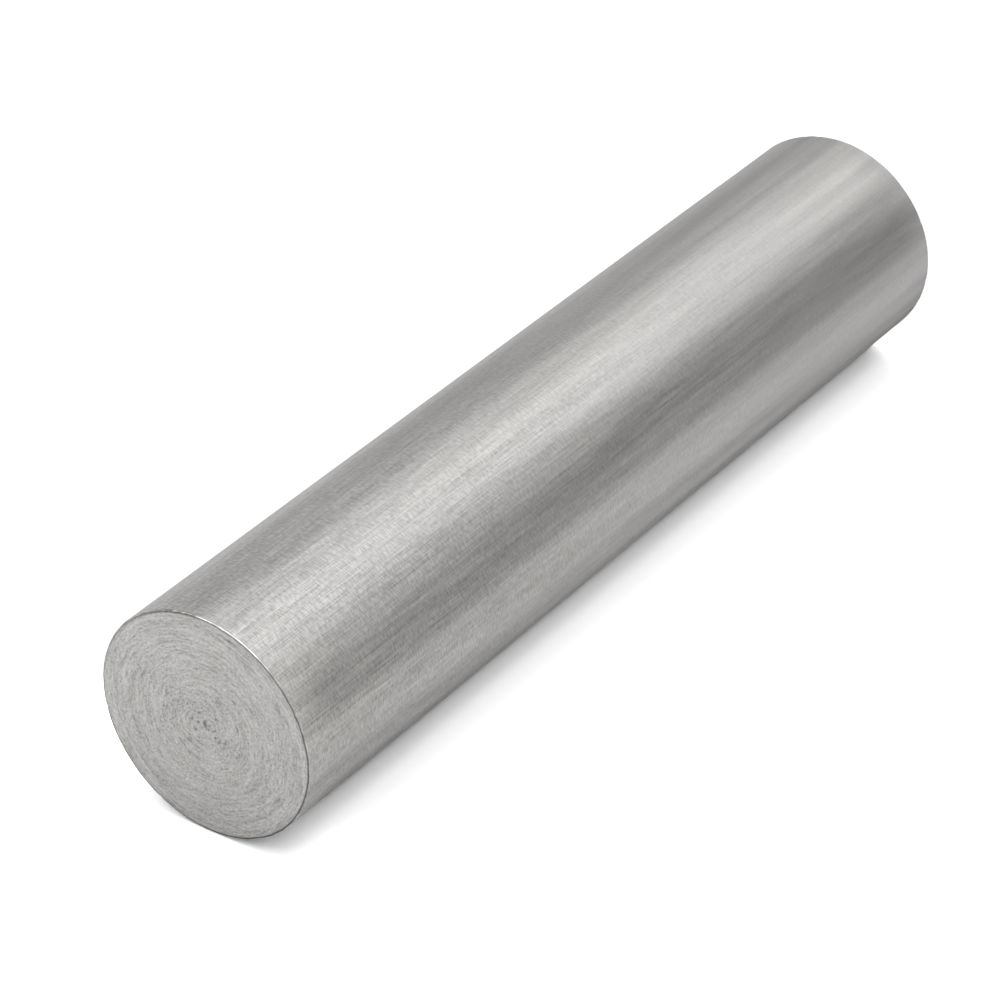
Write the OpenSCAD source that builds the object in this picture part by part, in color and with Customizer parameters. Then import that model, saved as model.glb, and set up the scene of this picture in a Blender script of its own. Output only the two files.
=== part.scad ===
// Short cut length of solid round steel bar, standing on one of its end faces.
// The bar's axis is Z, and the origin is the middle of the end face that it stands on.

/* [Bar] */
// Diameter of the bar
bar_d = 32; // [8:1:200]
// Length of the bar, from end face to end face
bar_length = 150; // [20:1:6000]

/* [Ends] */
// Edge break round each end face, the same along the face as along the side
edge_break = 0.2; // [0.05:0.05:2]

/* [Hidden] */
$fn = 128;
bar_r = bar_d / 2;

// Half of the bar's lengthways section: out from the axis, up the side and back to the axis
module half_section() {
    polygon([
        [0, 0],
        [bar_r - edge_break, 0],
        [bar_r, edge_break],
        [bar_r, bar_length - edge_break],
        [bar_r - edge_break, bar_length],
        [0, bar_length]
    ]);
}

// The bar is one solid, turned about its axis
module bar() {
    color("#b4b3b1")
        rotate_extrude()
            half_section();
}

bar();
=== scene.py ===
# %% [markdown]
# # A short length of round steel bar
# This lesson dresses one piece of raw stock: a solid round bar, 32 mm thick and 150 mm long, with a satin
# side and flat faced ends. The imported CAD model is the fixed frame. It says how large the bar is and where
# it stands, and every size below is read from it or kept as a named value in metres.

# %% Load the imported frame
import math

import bmesh
import bpy
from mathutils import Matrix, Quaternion, Vector, noise


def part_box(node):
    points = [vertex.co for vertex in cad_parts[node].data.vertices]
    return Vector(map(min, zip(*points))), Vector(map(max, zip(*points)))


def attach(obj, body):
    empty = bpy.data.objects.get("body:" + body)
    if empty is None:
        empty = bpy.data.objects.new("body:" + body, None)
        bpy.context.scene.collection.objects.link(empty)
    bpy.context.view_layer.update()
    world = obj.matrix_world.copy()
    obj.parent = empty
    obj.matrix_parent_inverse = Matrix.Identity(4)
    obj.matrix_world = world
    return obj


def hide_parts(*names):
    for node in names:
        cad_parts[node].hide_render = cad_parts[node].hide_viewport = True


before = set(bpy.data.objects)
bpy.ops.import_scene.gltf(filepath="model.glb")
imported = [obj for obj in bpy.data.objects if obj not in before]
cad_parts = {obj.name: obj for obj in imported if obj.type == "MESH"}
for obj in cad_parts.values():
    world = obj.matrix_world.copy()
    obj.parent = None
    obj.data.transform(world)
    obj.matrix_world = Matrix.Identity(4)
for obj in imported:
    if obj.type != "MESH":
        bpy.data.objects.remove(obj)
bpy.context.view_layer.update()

MM = 0.001
bar_low, bar_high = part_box("bar")
bar_radius = (bar_high.y - bar_low.y) / 2
bar_length = bar_high.z - bar_low.z
print("bar: radius %.2f mm, length %.2f mm" % (bar_radius / MM, bar_length / MM))

# %% [markdown]
# ## The half section
# The real bar was cut off and its ends were faced on a lathe, which turns a flat profile into a round part.
# Spin does the same, so the bar starts as half of its lengthways section: one vertex on the axis is
# extruded out along the top face, spun through a quarter turn round the rim, extruded down the side, and
# so on to the axis again. A cylinder primitive would give neither the round rims nor the close rings of
# vertices that the facing marks need.

# %% Draw the half section
EDGE_BREAK = 0.2 * MM
RIM_STEPS = 5
FACE_RINGS = 150
FOOT_RINGS = 60
SIDE_RINGS = 24

section = bmesh.new()
hollow = section.verts.layers.float.new("hollow")


def draw_to(vert, place):
    """Extrudes the profile from vert to a new place and returns the new vertex and the edge between."""
    made = bmesh.ops.extrude_vert_indiv(section, verts=[vert])
    new = made["verts"][0]
    bmesh.ops.translate(section, verts=[new], vec=Vector(place) - new.co)
    return new, made["edges"][0]


def round_corner(vert, centre):
    """Spins the end of the profile through a quarter turn and returns the last vertex."""
    made = bmesh.ops.spin(
        section, geom=[vert], cent=centre, axis=(0, 1, 0), angle=math.pi / 2, steps=RIM_STEPS
    )
    return [v for v in made["geom_last"] if isinstance(v, bmesh.types.BMVert)][0]


face_radius = bar_radius - EDGE_BREAK
top_axis = section.verts.new((0, 0, bar_length))
top_rim, top_edge = draw_to(top_axis, (face_radius, 0, bar_length))
side_top = round_corner(top_rim, (face_radius, 0, bar_length - EDGE_BREAK))
side_foot, side_edge = draw_to(side_top, (bar_radius, 0, EDGE_BREAK))
foot_rim = round_corner(side_foot, (face_radius, 0, EDGE_BREAK))
foot_axis, foot_edge = draw_to(foot_rim, (0, 0, 0))
for edge, rings in ((top_edge, FACE_RINGS), (side_edge, SIDE_RINGS), (foot_edge, FOOT_RINGS)):
    bmesh.ops.subdivide_edges(section, edges=[edge], cuts=rings)
print("half section:", len(section.verts), "vertices")

# %% [markdown]
# ## Turning the bar
# One full spin would do, but its time grows with the square of its steps. A quarter turn in small steps,
# and a second spin that copies that quarter three times, gives the same mesh in a tenth of the time. The
# copies meet along doubled vertices, and so do the two poles on the axis. They are merged, and the normals
# are recalculated after that, because a spin can leave them pointing inwards.

# %% Spin a quarter and copy it round
QUARTER_STEPS = 90
MERGE = 0.001 * MM
ABOUT_AXIS = {"cent": (0, 0, 0), "axis": (0, 0, 1)}

profile = section.verts[:] + section.edges[:]
bmesh.ops.spin(section, geom=profile, angle=math.pi / 2, steps=QUARTER_STEPS, **ABOUT_AXIS)
quarter = section.verts[:] + section.edges[:] + section.faces[:]
bmesh.ops.spin(section, geom=quarter, angle=math.pi * 3 / 2, steps=3, use_duplicate=True, **ABOUT_AXIS)
bmesh.ops.remove_doubles(section, verts=section.verts, dist=MERGE)
bmesh.ops.recalc_face_normals(section, faces=section.faces)
open_edges = [edge for edge in section.edges if not edge.is_manifold]
print("turned bar:", len(section.faces), "faces,", len(open_edges), "open edges")

# %% [markdown]
# ## Three finishes
# The drawn side, the faced ends and the broken rims were made by different tools, so they take different
# materials. The direction of each face's normal tells them apart, and this is the time to ask, while the
# faces are still true.

# %% Sort the faces
SIDE, FACE, RIM = range(3)
ENDWAYS = 0.995
SIDEWAYS = 0.005
for face in section.faces:
    face.smooth = True
    tilt = abs(face.normal.z)
    face.material_index = FACE if tilt > ENDWAYS else SIDE if tilt < SIDEWAYS else RIM
counts = [sum(face.material_index == kind for face in section.faces) for kind in (SIDE, FACE, RIM)]
print("faces by finish:", counts)

# %% [markdown]
# ## Facing marks
# A facing tool leaves fine rings that break off and wander, a rough patch in the middle where the cut runs
# out of speed, and here and there a torn spot. Bump in a material only changes the shading and leaves the
# mesh flat, so the coarser ones are real relief: each vertex of an end face is pressed a few hundredths of a
# millimetre into the bar by noise that is stretched along the rings. The depth of the torn spots is also
# written to an attribute, hollow, so that the material can darken them exactly where they are.

# %% Relief of the end faces
RING_DEPTH = 0.012 * MM
RING_PITCH = 0.45 * MM
RING_WANDER = 0.35 * MM
WANDER_SIZE = 6.0 * MM
RING_SPREAD = 1.6
ROUGH_RADIUS = 5.0 * MM
ROUGH_SIZE = 0.55 * MM
ROUGH_DEPTH = 0.02 * MM
TORN_DEPTH = 0.08 * MM
TORN_WIDTH = 0.18 * MM
TORN_SIZE = 0.24 * MM
TORN_WARP = 0.16 * MM
TORN_REACH = 2.5
PIP_WIDTH = 0.27 * MM
PIP_DARKNESS = 0.62
PIP_FROM = Vector((-0.03, -0.55, 0)) * MM
PIP_TO = Vector((-0.12, 0.12, 0)) * MM
# radius in mm, angle in degrees, length in mm and darkness of each torn spot
TORN_SPOTS = (
    (0.8, 198, 0.4, 0.5),
    (2.7, 142, 0.9, 0.4),
    (2.7, 348, 0.6, 0.3),
    (3.0, 72, 0.8, 0.35),
    (3.3, 298, 0.8, 0.35),
    (3.4, 157, 0.9, 0.4),
    (4.0, 51, 1.0, 0.45),
    (4.2, 322, 0.7, 0.35),
    (4.5, 4, 1.2, 0.3),
    (4.9, 243, 0.7, 0.4),
    (5.3, 47, 1.1, 0.4),
    (5.3, 196, 1.0, 0.6),
    (5.5, 77, 1.6, 0.5),
    (5.7, 62, 0.9, 0.5),
    (5.8, 157, 1.0, 0.3),
    (6.4, 252, 1.5, 0.4),
    (7.2, 229, 0.8, 0.45),
    (8.2, 27, 0.7, 0.5),
    (8.9, 214, 0.9, 0.5),
    (9.2, 258, 0.7, 0.4),
    (10.3, 339, 0.8, 0.45),
)


def ring_relief(x, y, radius):
    """Depth of the facing rings and of the rough middle at a place on an end face."""
    wander = RING_WANDER * noise.noise(Vector((x, y, 0)) / WANDER_SIZE)
    along = Vector((x, y, 0)) / max(radius, MERGE) * RING_SPREAD
    rings = noise.noise(along + Vector((0, 0, (radius + wander) / RING_PITCH)))
    rough = noise.noise(Vector((x, y, 0)) / ROUGH_SIZE)
    middle = max(0.0, 1 - radius / ROUGH_RADIUS)
    return RING_DEPTH * (0.5 + 0.5 * rings) + ROUGH_DEPTH * middle * (0.5 + 0.5 * rough)


def torn(x, y, radius, angle):
    """How deep a place lies in a torn spot, from 0 on the plain face to 1 at the bottom."""
    ragged = noise.noise(Vector((x, y, 0)) / TORN_SIZE)
    place = Vector((x, y, 0))
    share = (place - PIP_FROM).dot(PIP_TO - PIP_FROM) / (PIP_TO - PIP_FROM).length_squared
    nearest = PIP_FROM.lerp(PIP_TO, min(1.0, max(0.0, share)))
    across = ((place - nearest).length + ragged * TORN_WARP) / PIP_WIDTH
    deepest = PIP_DARKNESS * math.exp(-across * across)
    for spot_radius, spot_angle, spot_length, darkness in TORN_SPOTS:
        across = (radius + ragged * TORN_WARP - spot_radius * MM) / TORN_WIDTH
        if abs(across) < TORN_REACH:
            turn = math.remainder(angle - math.radians(spot_angle), math.tau)
            along = turn * spot_radius / (spot_length / 2) + ragged
            deepest = max(deepest, darkness * math.exp(-across * across - along * along))
    return deepest


# %% [markdown]
# ## The rims
# The corner between face and side was only lightly broken. Its tool rolled up a lip so fine that the line
# inside it is a shallow groove painted dark all round, fainter on one side and faded where the rim's glint
# falls, which is a painted highlight. The rim has small nicks from handling, most of them in one place.
# They are too small for a boolean cut, so the vertices near the corner are moved: down into the line
# inside the lip, and inwards at each nick.

# %% Relief of the rims
LIP_RADIUS = 15.77 * MM
LIP_WIDTH = 0.13 * MM
LIP_DEPTH = 0.04 * MM
LIP_WOBBLE = 0.05 * MM
WOBBLE_SIZE = 1.1 * MM
LIP_FAINTEST = math.radians(7)
LIP_FAINT = 0.65
LIP_FAINT_POWER = 0.7
# The next three values fade the painted dark line where the rim's glint falls: a painted highlight.
LIP_GLINT_ANGLE = math.radians(252)
LIP_GLINT_FADE = 0.45
LIP_GLINT_POWER = 8
LIP_BURRED = math.radians(294)
LIP_BURR = 0.6
LIP_BURR_POWER = 20
NICK_REACH = 0.5 * MM
NICK_DARK_DEPTH = 0.35 * MM
NICK_ENDS = 3
# angle in degrees, length along the rim and depth in mm of each nick
NICKS = (
    (274.5, 0.7, 0.05),
    (278.3, 0.8, 0.08),
    (282.3, 1.0, 0.12),
    (287, 0.5, 0.1),
    (289.5, 0.8, 0.15),
    (294, 1.2, 0.1),
    (299, 0.6, 0.08),
    (302.5, 0.9, 0.05),
    (247, 0.6, 0.05),
    (206, 0.9, 0.06),
    (171, 0.7, 0.05),
    (118, 1.2, 0.08),
    (61, 0.8, 0.06),
    (12, 0.9, 0.06),
)


def on_side(angle, middle, power):
    """How far an angle is on the side of another one, from 0 to 1. A higher power narrows that side."""
    return max(0.0, math.cos(angle - middle)) ** power


def lip_line(radius, angle):
    """How deep a place lies in the painted dark line inside the rim, from 0 to 1."""
    on_rim = Vector((math.cos(angle), math.sin(angle), 0)) * bar_radius
    wobble = LIP_WOBBLE * noise.noise(on_rim / WOBBLE_SIZE)
    uneven = 1 - LIP_FAINT * on_side(angle, LIP_FAINTEST, LIP_FAINT_POWER)
    # fainter where the rim's glint falls: painted highlight
    uneven -= LIP_GLINT_FADE * on_side(angle, LIP_GLINT_ANGLE, LIP_GLINT_POWER)
    burr = LIP_BURR * on_side(angle, LIP_BURRED, LIP_BURR_POWER)
    across = (radius - LIP_RADIUS - wobble) / (LIP_WIDTH * (1 + burr))
    return uneven * math.exp(-across * across)


def nicked(angle):
    """Depth of the nicks at an angle round the rim."""
    depth = 0.0
    for nick_angle, nick_length, nick_depth in NICKS:
        turn = math.remainder(angle - math.radians(nick_angle), math.tau)
        along = turn * bar_radius / (nick_length * MM / 2)
        if abs(along) < NICK_ENDS:
            depth = max(depth, nick_depth * MM * math.exp(-along * along))
    return depth


# %% Press the relief into both ends
for vert in section.verts:
    x, y, z = vert.co
    inwards = -1 if z > bar_length / 2 else 1
    from_end = bar_length - z if inwards < 0 else z
    if from_end > NICK_REACH:
        continue
    radius = math.hypot(x, y)
    angle = math.atan2(y, x)
    line = lip_line(radius, angle)
    spot = torn(x, y, radius, angle)
    depth = LIP_DEPTH * line + TORN_DEPTH * spot
    if radius < face_radius:
        depth += ring_relief(x, y, radius)
    near_rim = max(0.0, 1 - (bar_radius - radius + from_end) / NICK_REACH)
    nick = nicked(angle) * near_rim
    # hollow says how far the material darkens a place: the painted line inside the rim, torn spots and nicks
    vert[hollow] = min(1.0, line + spot + nick / NICK_DARK_DEPTH)
    vert.co.z += inwards * (depth + nick)
    vert.co.x -= nick * math.cos(angle)
    vert.co.y -= nick * math.sin(angle)
print("deepest hollow:", max(vert[hollow] for vert in section.verts))

# %% [markdown]
# ## One object
# The bar is one solid, so it is one object, at the origin, with its place in its mesh. It rides on the only
# body that the frame has and stands for the CAD bar.

# %% Make the object
mesh = bpy.data.meshes.new("round_bar")
section.to_mesh(mesh)
section.free()
bar = bpy.data.objects.new("round_bar", mesh)
bpy.context.collection.objects.link(bar)
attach(bar, "root")
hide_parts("bar")
print("round_bar:", len(mesh.polygons), "faces")

# %% [markdown]
# ## Helpers for nodes
# Node trees are easier to read when a socket can be fed in one way, whatever comes in: a link from another
# node, or a plain value.

# %% Node helpers
COLOR, VALUE, VECTOR = "NodeSocketColor", "NodeSocketFloat", "NodeSocketVector"
# a Mix node's sockets for colours come after those for values and vectors
MIX_FACTOR, MIX_FIRST, MIX_SECOND, MIX_RESULT = 0, 6, 7, 2


def feed(tree, socket, source):
    """Links another node's output to a socket, or writes a plain value on it."""
    if isinstance(source, bpy.types.NodeSocket):
        tree.links.new(source, socket)
    else:
        socket.default_value = source


def math_node(tree, operation, first, second):
    node = tree.nodes.new("ShaderNodeMath")
    node.operation = operation
    feed(tree, node.inputs[0], first)
    feed(tree, node.inputs[1], second)
    return node.outputs[0]


def vector_node(tree, operation, first, second=(0, 0, 0)):
    node = tree.nodes.new("ShaderNodeVectorMath")
    node.operation = operation
    feed(tree, node.inputs[0], first)
    feed(tree, node.inputs[1], second)
    return node.outputs["Value"] if operation in ("LENGTH", "DOT_PRODUCT") else node.outputs["Vector"]


def range_node(tree, value, low, high, to_low=0.0, to_high=1.0):
    node = tree.nodes.new("ShaderNodeMapRange")
    node.interpolation_type = "SMOOTHSTEP"
    for label, source in (
        ("Value", value),
        ("From Min", low),
        ("From Max", high),
        ("To Min", to_low),
        ("To Max", to_high),
    ):
        feed(tree, node.inputs[label], source)
    return node.outputs["Result"]


def mix_colors(tree, blend, factor, first, second):
    node = tree.nodes.new("ShaderNodeMix")
    node.data_type = "RGBA"
    node.blend_type = blend
    feed(tree, node.inputs[MIX_FACTOR], factor)
    feed(tree, node.inputs[MIX_FIRST], first)
    feed(tree, node.inputs[MIX_SECOND], second)
    return node.outputs[MIX_RESULT]


def object_place(tree):
    return tree.nodes.new("ShaderNodeTexCoord").outputs["Object"]


def new_group(name, inputs, outputs):
    """Makes an empty shader node group and returns it with the sockets on its two ends."""
    group = bpy.data.node_groups.new(name, "ShaderNodeTree")
    for label, kind in inputs:
        group.interface.new_socket(label, in_out="INPUT", socket_type=kind)
    for label, kind in outputs:
        group.interface.new_socket(label, in_out="OUTPUT", socket_type=kind)
    entry = group.nodes.new("NodeGroupInput")
    leave = group.nodes.new("NodeGroupOutput")
    return group, entry.outputs, leave.inputs


def place_group(tree, group, **sources):
    """Puts a group into a tree with its own values and returns its outputs."""
    node = tree.nodes.new("ShaderNodeGroup")
    node.node_tree = group
    for label, source in sources.items():
        feed(tree, node.inputs[label], source)
    return node.outputs


# %% [markdown]
# ## Shared effects
# All the marks on this bar are one thing seen at different scales: noise that is short in one direction and
# long in another. Streaks run along the bar, fine scratches run round it, and facing rings run round the
# middle of an end. So one group makes stretched grain at any pitch, a second one gives the end faces a place
# that is measured round their middle, and a third lightens, darkens and faintly tints the steel.

# %% Stretched grain
FINE_DETAIL = 2.0

grain, entry, leave = new_group(
    "stretched_grain",
    (("Place", VECTOR), ("Pitch", VECTOR), ("Low", VALUE), ("High", VALUE), ("Detail", VALUE)),
    (("Value", VALUE),),
)
texture = grain.nodes.new("ShaderNodeTexNoise")
texture.inputs["Scale"].default_value = 1.0
feed(grain, texture.inputs["Detail"], entry["Detail"])
feed(grain, texture.inputs["Vector"], vector_node(grain, "MULTIPLY", entry["Place"], entry["Pitch"]))
feed(grain, leave["Value"], range_node(grain, texture.outputs[0], entry["Low"], entry["High"]))


def marks(tree, place, pitch, cut, detail=FINE_DETAIL):
    """Puts stretched grain into a tree, cut off below and above two levels, and returns its value."""
    low, high = cut
    return place_group(tree, grain, Place=place, Pitch=pitch, Low=low, High=high, Detail=detail)["Value"]


# %% Place on a turned face
turned, entry, leave = new_group(
    "turned_place",
    (("Wander", VALUE), ("Wander Pitch", VALUE)),
    (("Place", VECTOR), ("Radius", VALUE)),
)
flat = vector_node(turned, "MULTIPLY", object_place(turned), (1, 1, 0))
radius = vector_node(turned, "LENGTH", flat)
texture = turned.nodes.new("ShaderNodeTexNoise")
feed(turned, texture.inputs["Vector"], flat)
feed(turned, texture.inputs["Scale"], entry["Wander Pitch"])
to_and_fro = math_node(turned, "SUBTRACT", texture.outputs[0], 0.5)
sway = math_node(turned, "MULTIPLY", to_and_fro, entry["Wander"])
split = turned.nodes.new("ShaderNodeSeparateXYZ")
feed(turned, split.inputs[0], vector_node(turned, "NORMALIZE", flat))
join = turned.nodes.new("ShaderNodeCombineXYZ")
feed(turned, join.inputs[0], split.outputs[0])
feed(turned, join.inputs[1], split.outputs[1])
feed(turned, join.inputs[2], math_node(turned, "ADD", radius, sway))
feed(turned, leave["Place"], join.outputs[0])
feed(turned, leave["Radius"], radius)

# %% Tone of the steel
WARM = (1.003, 1.002, 0.992, 1)
COOL = (1.001, 0.993, 1.007, 1)
TINT_CUT = 0.35, 0.65

tone, entry, leave = new_group(
    "steel_tone",
    (("Steel", COLOR), ("Shade", VALUE), ("Place", VECTOR), ("Pitch", VECTOR), ("Tint", VALUE)),
    (("Color", COLOR),),
)
patches = marks(tone, entry["Place"], entry["Pitch"], TINT_CUT)
tint = mix_colors(tone, "MIX", patches, WARM, COOL)
shaded = vector_node(tone, "SCALE", entry["Steel"])
feed(tone, shaded.node.inputs["Scale"], entry["Shade"])
feed(tone, leave["Color"], mix_colors(tone, "MULTIPLY", entry["Tint"], shaded, tint))
print("groups:", [group.name for group in bpy.data.node_groups])

# %% [markdown]
# ## A material to start from
# Each finish is a metal with its own colour, roughness and relief. Everything that is the same all over the
# surface is set on the shader itself. Specular Tint dims the reflections at a glancing angle, as a dull skin
# of oxide does.

# %% New steel
STEEL = (0.5405, 0.5325, 0.5215, 1)
FACED_STEEL = (0.498, 0.491, 0.481, 1)
RUBBED_STEEL = (0.5, 0.492, 0.482, 1)
EDGE_TINT = (0.82, 0.82, 0.82, 1)


def new_steel(name):
    """Makes a metal material and returns its tree and shader."""
    material = bpy.data.materials.new(name)
    material.use_nodes = True
    tree = material.node_tree
    tree.nodes.clear()
    shader = tree.nodes.new("ShaderNodeBsdfPrincipled")
    shader.inputs["Metallic"].default_value = 1
    shader.inputs["Specular Tint"].default_value = EDGE_TINT
    output = tree.nodes.new("ShaderNodeOutputMaterial")
    tree.links.new(shader.outputs["BSDF"], output.inputs["Surface"])
    mesh.materials.append(material)
    return tree, shader


def bump(tree, height, distance, below=None):
    """Adds a bump of a real depth on top of another one and returns its normal."""
    node = tree.nodes.new("ShaderNodeBump")
    node.inputs["Strength"].default_value = 1
    node.inputs["Distance"].default_value = distance
    feed(tree, node.inputs["Height"], height)
    if below:
        feed(tree, node.inputs["Normal"], below)
    return node.outputs[0]


def fading(tree, mark, hold):
    """Weakens a mark towards its middle value where hold is below 1."""
    to_and_fro = math_node(tree, "SUBTRACT", mark, 0.5)
    return math_node(tree, "ADD", math_node(tree, "MULTIPLY", to_and_fro, hold), 0.5)


def shade_by(tree, *parts):
    """Adds up shares of several marks round a plain shade of 1. A mark with a negative share only darkens."""
    total = 1.0 - sum(max(share, 0) / 2 for mark, share in parts)
    for mark, share in parts:
        total = math_node(tree, "ADD", math_node(tree, "MULTIPLY", mark, share), total)
    return total


# %% [markdown]
# ## The satin side
# The side was drawn and then rubbed with a fine abrasive. Broad streaks along the bar tilt the surface by a
# degree or two, which breaks up the edges of the reflections, and thin lines and short scratches round the
# bar lie on top of them like a weave, strongest at the top end. A few longer lines are scored deeper. All
# of them are bump, because a mesh fine enough for the thinnest ones would need millions of triangles. The
# anisotropy is turned to run round the bar by a radial tangent.

# %% Satin side
SIDE_ROUGHNESS = 0.33, 0.39
SIDE_ANISOTROPY = 0.5
STREAK_PITCH = (450, 450, 20)
BRUSH_PITCH = (1800, 1800, 70)
LINE_PITCH = (7200, 7200, 160)
SCRATCH_PITCH = (1400, 1400, 6500)
SCORE_PITCH = (3000, 3000, 18)
TICK_PITCH = (900, 900, 4200)
TINT_PITCH = (160, 160, 30)
FOOT_HOLD = 0.25
STREAK_DEPTH = 0.029 * MM
BRUSH_DEPTH = 0.0022 * MM
LINE_DEPTH = 0.001 * MM
SCRATCH_DEPTH = 0.0015 * MM
SCORE_DEPTH = 0.003 * MM
SOFT_CUT = 0.25, 0.75
EVEN_CUT = 0.3, 0.7
TICK_CUT = 0.66, 0.78
SCORE_CUT = 0.66, 0.76
STREAK_DETAIL = 0.5
SCORE_DETAIL = 0.0
STREAK_SHADE = 0.14
BRUSH_SHADE = 0.02
LINE_SHADE = 0.27
SCRATCH_SHADE = 0.34
TICK_SHADE = 0.2
SCORE_SHADE = -0.07

tree, shader = new_steel("satin_side")
place = object_place(tree)
streaks = marks(tree, place, STREAK_PITCH, SOFT_CUT, STREAK_DETAIL)
brush = marks(tree, place, BRUSH_PITCH, SOFT_CUT)
lines = marks(tree, place, LINE_PITCH, EVEN_CUT)
scratches = marks(tree, place, SCRATCH_PITCH, EVEN_CUT)
ticks = marks(tree, place, TICK_PITCH, TICK_CUT)
scores = marks(tree, place, SCORE_PITCH, SCORE_CUT, SCORE_DETAIL)
split = tree.nodes.new("ShaderNodeSeparateXYZ")
feed(tree, split.inputs[0], place)
hold = range_node(tree, split.outputs["Z"], 0.0, bar_length, FOOT_HOLD, 1.0)
lines = fading(tree, lines, hold)
scratches = fading(tree, scratches, hold)
scores = math_node(tree, "MULTIPLY", scores, math_node(tree, "SQRT", hold, 0.0))
shade = shade_by(
    tree,
    (streaks, STREAK_SHADE),
    (brush, BRUSH_SHADE),
    (lines, LINE_SHADE),
    (scratches, SCRATCH_SHADE),
    (ticks, TICK_SHADE),
    (scores, SCORE_SHADE),
)
color = place_group(tree, tone, Steel=STEEL, Shade=shade, Place=place, Pitch=TINT_PITCH, Tint=1.0)["Color"]
feed(tree, shader.inputs["Base Color"], color)
rough = range_node(tree, brush, 0.0, 1.0, *SIDE_ROUGHNESS)
feed(tree, shader.inputs["Roughness"], rough)
normal = bump(tree, streaks, STREAK_DEPTH)
normal = bump(tree, brush, BRUSH_DEPTH, normal)
normal = bump(tree, lines, LINE_DEPTH, normal)
normal = bump(tree, scratches, SCRATCH_DEPTH, normal)
normal = bump(tree, scores, SCORE_DEPTH, normal)
feed(tree, shader.inputs["Normal"], normal)
shader.inputs["Anisotropic"].default_value = SIDE_ANISOTROPY
tangent = tree.nodes.new("ShaderNodeTangent")
tangent.direction_type = "RADIAL"
tangent.axis = "Z"
feed(tree, shader.inputs["Tangent"], tangent.outputs[0])
print("satin_side:", len(tree.nodes), "nodes")

# %% [markdown]
# ## The faced ends
# An end face is duller than the side. Its rings show as thin broken arcs, some of them dark, over the flecks
# and the speckle that the cutting edge left. The marks take the place that turned_place gives, so that
# they bend round the middle without a seam, and the hollow attribute darkens the torn spots and the line
# inside the rim.

# %% Faced ends
FACE_ROUGHNESS = 0.55, 0.45
FACE_WANDER = 0.9 * MM
FACE_WANDER_PITCH = 180
BAND_PITCH = (1.6, 1.6, 800)
ARC_PITCH = (2.4, 2.4, 2700)
DARK_ARC_PITCH = (5, 5, 2700)
FLECK_PITCH = (17, 17, 4200)
PATCH_PITCH = (230, 230, 0)
SPECKLE_PITCH = (3200, 3200, 0)
PIT_PITCH = (1500, 1500, 0)
PIT_RADIUS = 6.5 * MM
FACE_TINT_PITCH = (220, 220, 0)
FACE_TINT = 0.4
ARC_DEPTH = 0.003 * MM
SPECKLE_DEPTH = 0.002 * MM
DARK_ARC_CUT = 0.52, 0.72
PATCH_CUT = 0.4, 0.62
FLECK_CUT = 0.38, 0.7
PIT_CUT = 0.55, 0.7
BAND_SHADE = 0.09
ARC_SHADE = 0.19
SPECKLE_SHADE = 0.18
FLECK_SHADE = -0.22
DARK_ARC_SHADE = -0.24
PIT_SHADE = -0.6
HOLLOW_SHADE = 0.85


def hollow_shade(tree, shade):
    """Darkens a shade by the mesh's hollow attribute: torn spots, nicks and the dark line inside the rim."""
    attribute = tree.nodes.new("ShaderNodeAttribute")
    attribute.attribute_name = "hollow"
    dirt = math_node(tree, "MULTIPLY", attribute.outputs["Fac"], HOLLOW_SHADE)
    return math_node(tree, "MULTIPLY", shade, math_node(tree, "SUBTRACT", 1.0, dirt))


tree, shader = new_steel("faced_end")
place = object_place(tree)
around = place_group(tree, turned, **{"Wander": FACE_WANDER, "Wander Pitch": FACE_WANDER_PITCH})
bands = marks(tree, around["Place"], BAND_PITCH, EVEN_CUT)
arcs = marks(tree, around["Place"], ARC_PITCH, EVEN_CUT)
thin = marks(tree, around["Place"], DARK_ARC_PITCH, DARK_ARC_CUT)
patch = marks(tree, place, PATCH_PITCH, PATCH_CUT)
flecks = marks(tree, around["Place"], FLECK_PITCH, FLECK_CUT)
speckle = marks(tree, place, SPECKLE_PITCH, EVEN_CUT)
pits = marks(tree, place, PIT_PITCH, PIT_CUT)
dark_arcs = math_node(tree, "MULTIPLY", thin, patch)
middle = range_node(tree, around["Radius"], 0.0, PIT_RADIUS, 1.0, 0.0)
dark_pits = math_node(tree, "MULTIPLY", pits, middle)
light_marks = (bands, BAND_SHADE), (arcs, ARC_SHADE), (speckle, SPECKLE_SHADE)
dark_marks = (flecks, FLECK_SHADE), (dark_arcs, DARK_ARC_SHADE), (dark_pits, PIT_SHADE)
shade = shade_by(tree, *light_marks, *dark_marks)
shade = hollow_shade(tree, shade)
color = place_group(
    tree, tone, Steel=FACED_STEEL, Shade=shade, Place=place, Pitch=FACE_TINT_PITCH, Tint=FACE_TINT
)["Color"]
feed(tree, shader.inputs["Base Color"], color)
rough = range_node(tree, speckle, 0.0, 1.0, *FACE_ROUGHNESS)
feed(tree, shader.inputs["Roughness"], rough)
normal = bump(tree, arcs, ARC_DEPTH)
normal = bump(tree, speckle, SPECKLE_DEPTH, normal)
feed(tree, shader.inputs["Normal"], normal)
print("faced_end:", len(tree.nodes), "nodes")

# %% [markdown]
# ## The rubbed rims
# A rim is where a bar is touched most, so its metal is smoother than the rest and catches the light as a
# thin line. Short grain round the bar keeps that line from being too even, and the nicks and the lip's foot
# are dark by the same attribute.

# %% Rubbed rims
RIM_ROUGHNESS = 0.32, 0.16
RUB_PITCH = (700, 700, 4000)
RUB_SHADE = 0.5

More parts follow.
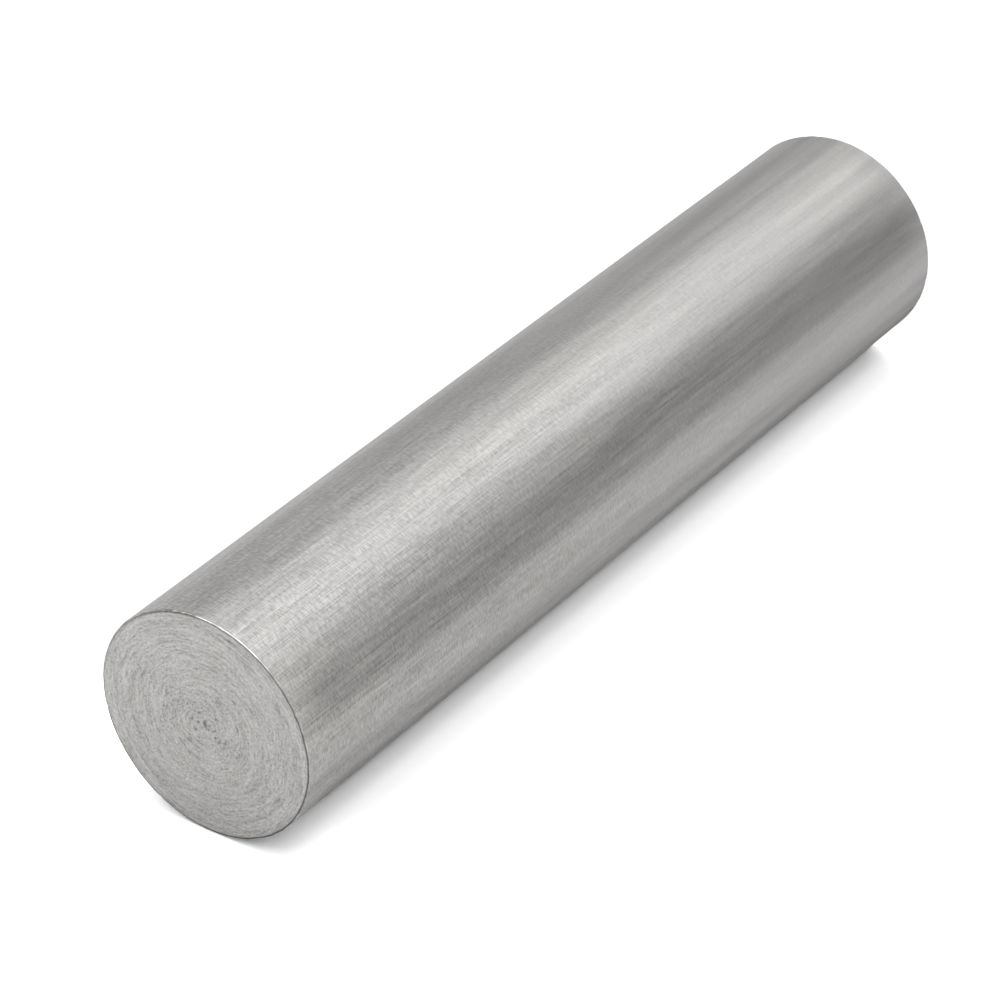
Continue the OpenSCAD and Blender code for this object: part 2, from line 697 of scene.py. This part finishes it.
tree, shader = new_steel("rubbed_rim")
place = object_place(tree)
rubbed = marks(tree, place, RUB_PITCH, EVEN_CUT)
shade = hollow_shade(tree, shade_by(tree, (rubbed, RUB_SHADE)))
color = place_group(
    tree, tone, Steel=RUBBED_STEEL, Shade=shade, Place=place, Pitch=FACE_TINT_PITCH, Tint=FACE_TINT
)["Color"]
feed(tree, shader.inputs["Base Color"], color)
rough = range_node(tree, rubbed, 0.0, 1.0, *RIM_ROUGHNESS)
feed(tree, shader.inputs["Roughness"], rough)
print("rubbed_rim:", len(tree.nodes), "nodes")

# %% [markdown]
# ## The camera
# The photograph looks at the bar from the side of its top end. The bar stands upright here, so the camera
# is turned about its own line of sight until the bar leans across the picture as it does there.

# %% Place the camera
VIEW_AZIMUTH = math.radians(318.34)
VIEW_ELEVATION = math.radians(43.93)
VIEW_ROLL = math.radians(-127.95)
VIEW_DISTANCE = 541.1 * MM
VIEW_AIM = Vector((-0.29, 0.3, 87.0)) * MM
VIEW_LENS = 146.88
CLIP_START = 0.01

towards_camera = Vector(
    (
        math.sin(VIEW_AZIMUTH) * math.cos(VIEW_ELEVATION),
        -math.cos(VIEW_AZIMUTH) * math.cos(VIEW_ELEVATION),
        math.sin(VIEW_ELEVATION),
    )
)
camera = bpy.data.objects.new("camera", bpy.data.cameras.new("camera"))
bpy.context.collection.objects.link(camera)
camera.data.lens = VIEW_LENS
camera.data.clip_start = CLIP_START
camera.location = VIEW_AIM + towards_camera * VIEW_DISTANCE
camera.rotation_mode = "QUATERNION"
level = (-towards_camera).to_track_quat("-Z", "Y")
camera.rotation_quaternion = level @ Quaternion((0, 0, 1), VIEW_ROLL)
bpy.context.scene.camera = camera
print("camera at", [round(c, 3) for c in camera.location])

# %% [markdown]
# ## White paper
# The stage is white paper under an even white sky. A photographer exposes such paper until it is pure white
# and only the shadow at the object's foot is left, so the paper's colour is raised for camera rays alone.
# Glossy and transmission rays see plain white, and the light that the paper sends back to the bar is no
# more than paper gives. Rays that go from the paper to the bar and on see black, so that the bar throws no
# patches of light onto the paper. The upright sheet is exposed less where the photograph's paper isn't
# white, which paints shadow onto it: in the gap beside the bar, at the edge of the shadow and near the
# bar's top end. Seen from behind, the sheet is left out, so that it hides nothing.

# %% Sky and paper
PAPER = 0.97
PAPER_IN_METAL = 1.0
# The lower second exposure near the top end, and the gap and tail values, paint shadow onto the upright
# sheet.
PAPER_EXPOSED = 2.68, 1.45
PAPER_FADE = 142 * MM, 154 * MM
GAP_PAINTED_SHADE = 0.1
GAP_WIDTH = 6.7 * MM, 8.4 * MM
GAP_END = 132 * MM, 146 * MM
TAIL_PAINTED_SHADE = 0.8
TAIL_WIDTH = 10.8 * MM, 14.8 * MM
FLOOR_EXPOSED = 1.3, 2.4
FLOOR_FADE = -bar_radius, -bar_radius / 8
SKY = 1.0

world = bpy.data.worlds.new("studio")
world.use_nodes = True
world.cycles.sampling_method = "NONE"
bpy.context.scene.world = world
bpy.context.scene.view_settings.view_transform = "Standard"
background = world.node_tree.nodes["Background"]
background.inputs["Color"].default_value = (1, 1, 1, 1)


def thrown_back(tree, path):
    """Tells the rays that go from the paper to the bar and on, from 0 to 1."""
    after_paper = math_node(tree, "GREATER_THAN", path.outputs["Diffuse Depth"], 0.5)
    return math_node(tree, "MULTIPLY", after_paper, path.outputs["Is Glossy Ray"])


sky_path = world.node_tree.nodes.new("ShaderNodeLightPath")
lost = thrown_back(world.node_tree, sky_path)
strength = math_node(world.node_tree, "SUBTRACT", SKY, lost)
feed(world.node_tree, background.inputs["Strength"], strength)


def grey(value):
    return (value, value, value, 1)


def plain_paper(name, value):
    """Makes a matt material of one grey, for the stage only, and returns it with its shader and output."""
    material = bpy.data.materials.new(name)
    material.use_nodes = True
    tree = material.node_tree
    tree.nodes.clear()
    shader = tree.nodes.new("ShaderNodeBsdfDiffuse")
    shader.inputs["Color"].default_value = grey(value)
    output = tree.nodes.new("ShaderNodeOutputMaterial")
    tree.links.new(shader.outputs[0], output.inputs["Surface"])
    return material, shader, output


def exposed_paper(name, exposure):
    """Makes white paper that the camera sees over-exposed, and not at all from behind."""
    material, shader, output = plain_paper(name, PAPER)
    tree = material.node_tree
    path = tree.nodes.new("ShaderNodeLightPath")
    in_metal = math_node(tree, "MAXIMUM", path.outputs["Is Glossy Ray"], path.outputs["Is Transmission Ray"])
    seen = mix_colors(tree, "MIX", in_metal, grey(PAPER), grey(PAPER_IN_METAL))
    seen = mix_colors(tree, "MIX", thrown_back(tree, path), seen, grey(0))
    seen = mix_colors(tree, "MIX", path.outputs["Is Camera Ray"], seen, exposure(tree))
    feed(tree, shader.inputs["Color"], seen)
    backfacing = tree.nodes.new("ShaderNodeNewGeometry").outputs["Backfacing"]
    from_behind = math_node(tree, "MULTIPLY", backfacing, path.outputs["Is Camera Ray"])
    clear = tree.nodes.new("ShaderNodeBsdfTransparent")
    mix = tree.nodes.new("ShaderNodeMixShader")
    feed(tree, mix.inputs[0], from_behind)
    feed(tree, mix.inputs[1], shader.outputs[0])
    feed(tree, mix.inputs[2], clear.outputs[0])
    feed(tree, output.inputs["Surface"], mix.outputs[0])
    return material


def sheet_exposure_and_painted_shadow(tree):
    """Exposes the sheet less at the bar's top end and where its shadow ends, and least in the narrow gap."""
    # Painted shadow: the lower exposures darken the sheet in the gap, at the shadow's edge and at the top
    # end.
    split = tree.nodes.new("ShaderNodeSeparateXYZ")
    feed(tree, split.inputs[0], object_place(tree))
    aside = math_node(tree, "ABSOLUTE", split.outputs["X"], 0.0)
    gap = range_node(tree, aside, *GAP_WIDTH, GAP_PAINTED_SHADE, 1.0)
    tail = range_node(tree, aside, *TAIL_WIDTH, 1.0, TAIL_PAINTED_SHADE)
    beside_bar = math_node(tree, "MULTIPLY", gap, tail)
    held = range_node(tree, split.outputs["Z"], *GAP_END, beside_bar, 1.0)
    plain = range_node(tree, split.outputs["Z"], *PAPER_FADE, *PAPER_EXPOSED)
    return math_node(tree, "MULTIPLY", plain, held)


def floor_exposure(tree):
    """Lets the bar's shadow show on the floor behind it and lifts the floor on the camera's side to white."""
    # Painted light: on the camera's side the floor is lifted to white over the bar's shadow there.
    nearer = vector_node(tree, "DOT_PRODUCT", object_place(tree), towards_camera.normalized())
    return range_node(tree, nearer, *FLOOR_FADE, *FLOOR_EXPOSED)


def stage_plane(name, corners, material):
    """Adds a flat four-cornered piece of the stage."""
    plane = bmesh.new()
    plane.faces.new([plane.verts.new(corner) for corner in corners])
    data = bpy.data.meshes.new(name)
    plane.to_mesh(data)
    plane.free()
    data.materials.append(material)
    obj = bpy.data.objects.new(name, data)
    bpy.context.collection.objects.link(obj)
    return obj


# %% [markdown]
# ## Floor, backdrop and cards
# The bar stands on the floor and touches the upright backdrop, which is the paper that the photograph shows
# it on. The floor is kept out of the bar's reflections: the bar lies in the photograph, so what is beyond
# its far end there is open sky. The backdrop beside the bar is kept out too, because it would leave the
# bar's back black, and cards stand in for it. They and a dark flag, out of the camera's sight, give the
# metal its dark bands. A second flag keeps some light out of the narrow gap between the bar and the
# backdrop, and the metal doesn't show it.

# %% Build the stage
FLOOR = 3.0
SHEET_HALF = 0.032
ABOVE_HALF = 0.07
SHEET_TOP = 0.5
SHEET_GAP = 0.02 * MM
CARD_X = 0.45
CARD_LOW = -0.9
# name, both ends in x and y, height of the top, grey and slant of each card, with places in metres
CARDS = (
    ("dark_flag", (-CARD_X, -0.76), (-CARD_X, 0.1), -0.13, 0.31, 0.7),
    ("light_card", (-CARD_X, 0.1), (-CARD_X, 0.8), 0.6, 0.84, 0.0),
    # Painted shade: the bar mirrors the grey sheet card and the nearly black gap card in place of the shaded
    # paper beside it and the dark gap.
    ("shaded_sheet_card", (-0.28, 0.5), (0.06, 0.5), -0.15, 0.6, 0.0),
    ("gap_shade_card", (0.06, 0.5), (0.42, 0.26), -0.2, 0.05, 0.0),
    ("grey_card", (CARD_X, 0.3), (CARD_X, -0.6), 0.6, 0.64, 0.82),
)
SHADE_FLAG = ("shade_flag", (-CARD_X * 1.1, -0.38), (-CARD_X * 1.1, 0.1), 0.6, 0.3, 0.0)

floor = stage_plane(
    "floor",
    [(-FLOOR, -FLOOR, 0), (FLOOR, -FLOOR, 0), (FLOOR, FLOOR, 0), (-FLOOR, FLOOR, 0)],
    exposed_paper("floor_paper", floor_exposure),
)
floor.visible_glossy = False
floor.visible_shadow = False

sheet_y = bar_radius + SHEET_GAP


def hang_sheet(name, half, low, high):
    """Hangs a length of the backdrop between two heights."""
    sheet = stage_plane(
        name,
        [(-half, sheet_y, low), (half, sheet_y, low), (half, sheet_y, high), (-half, sheet_y, high)],
        exposed_paper(name + "_paper", sheet_exposure_and_painted_shadow),
    )
    sheet.visible_diffuse = False
    return sheet


hang_sheet("backdrop_above", ABOVE_HALF, bar_length, SHEET_TOP)
beside = hang_sheet("backdrop_beside", SHEET_HALF, 0, bar_length)
beside.visible_glossy = False


def card_cloth(name, value):
    """Makes cloth of one grey that throws no light onto the paper by way of the bar."""
    material, shader, _ = plain_paper(name, value)
    tree = material.node_tree
    path = tree.nodes.new("ShaderNodeLightPath")
    seen = mix_colors(tree, "MIX", thrown_back(tree, path), grey(value), grey(0))
    feed(tree, shader.inputs["Color"], seen)
    return material


def stand_card(name, start, end, top, value, slant):
    """Stands a card on the line between two places. Its upper edge is shorter by the slant's share.

    Only reflections show it.
    """
    upper = Vector(start).lerp(Vector(end), slant)
    card = stage_plane(
        name,
        [(*start, CARD_LOW), (*end, CARD_LOW), (*end, top), (*upper, top)],
        card_cloth(name + "_cloth", value),
    )
    card.visible_camera = False
    card.visible_diffuse = False
    return card


for card in CARDS:
    stand_card(*card)
shade_flag = stand_card(*SHADE_FLAG)
shade_flag.visible_glossy = False
shade_flag.visible_diffuse = True

# %% [markdown]
# ## The softbox
# One large soft lamp in front of the bar makes the long highlight. It is only half as bright as the sky
# behind it, so the light stays at a plain level. A wider and brighter one hangs higher, where only the round
# rim of the top end mirrors it to the camera, and it is kept off the paper.

# %% Hang the softboxes
SOFTBOX_PLACE = (-0.08, -0.6, -0.04)
SOFTBOX_SIZE = 0.5, 1.4
SOFTBOX_RADIANCE = 0.52
RIM_LIGHT_PLACE = (0.265, -0.6, 0.85)
RIM_LIGHT_SIZE = 1.37, 0.9
RIM_LIGHT_RADIANCE = 2.7


def hang_softbox(name, place, size, radiance):
    """Hangs a soft lamp that faces the bar's front and returns it."""
    width, height = size
    lamp = bpy.data.lights.new(name, "AREA")
    lamp.shape = "RECTANGLE"
    lamp.size = width
    lamp.size_y = height
    lamp.energy = radiance * math.pi * width * height
    softbox = bpy.data.objects.new(name, lamp)
    bpy.context.collection.objects.link(softbox)
    softbox.location = place
    softbox.rotation_mode = "QUATERNION"
    softbox.rotation_quaternion = Vector((0, 1, 0)).to_track_quat("-Z", "Y")
    softbox.visible_camera = False
    print(name, round(lamp.energy, 2), "W")
    return softbox


hang_softbox("softbox", SOFTBOX_PLACE, SOFTBOX_SIZE, SOFTBOX_RADIANCE)
rim_light = hang_softbox("rim_light", RIM_LIGHT_PLACE, RIM_LIGHT_SIZE, RIM_LIGHT_RADIANCE)
rim_light.visible_diffuse = False
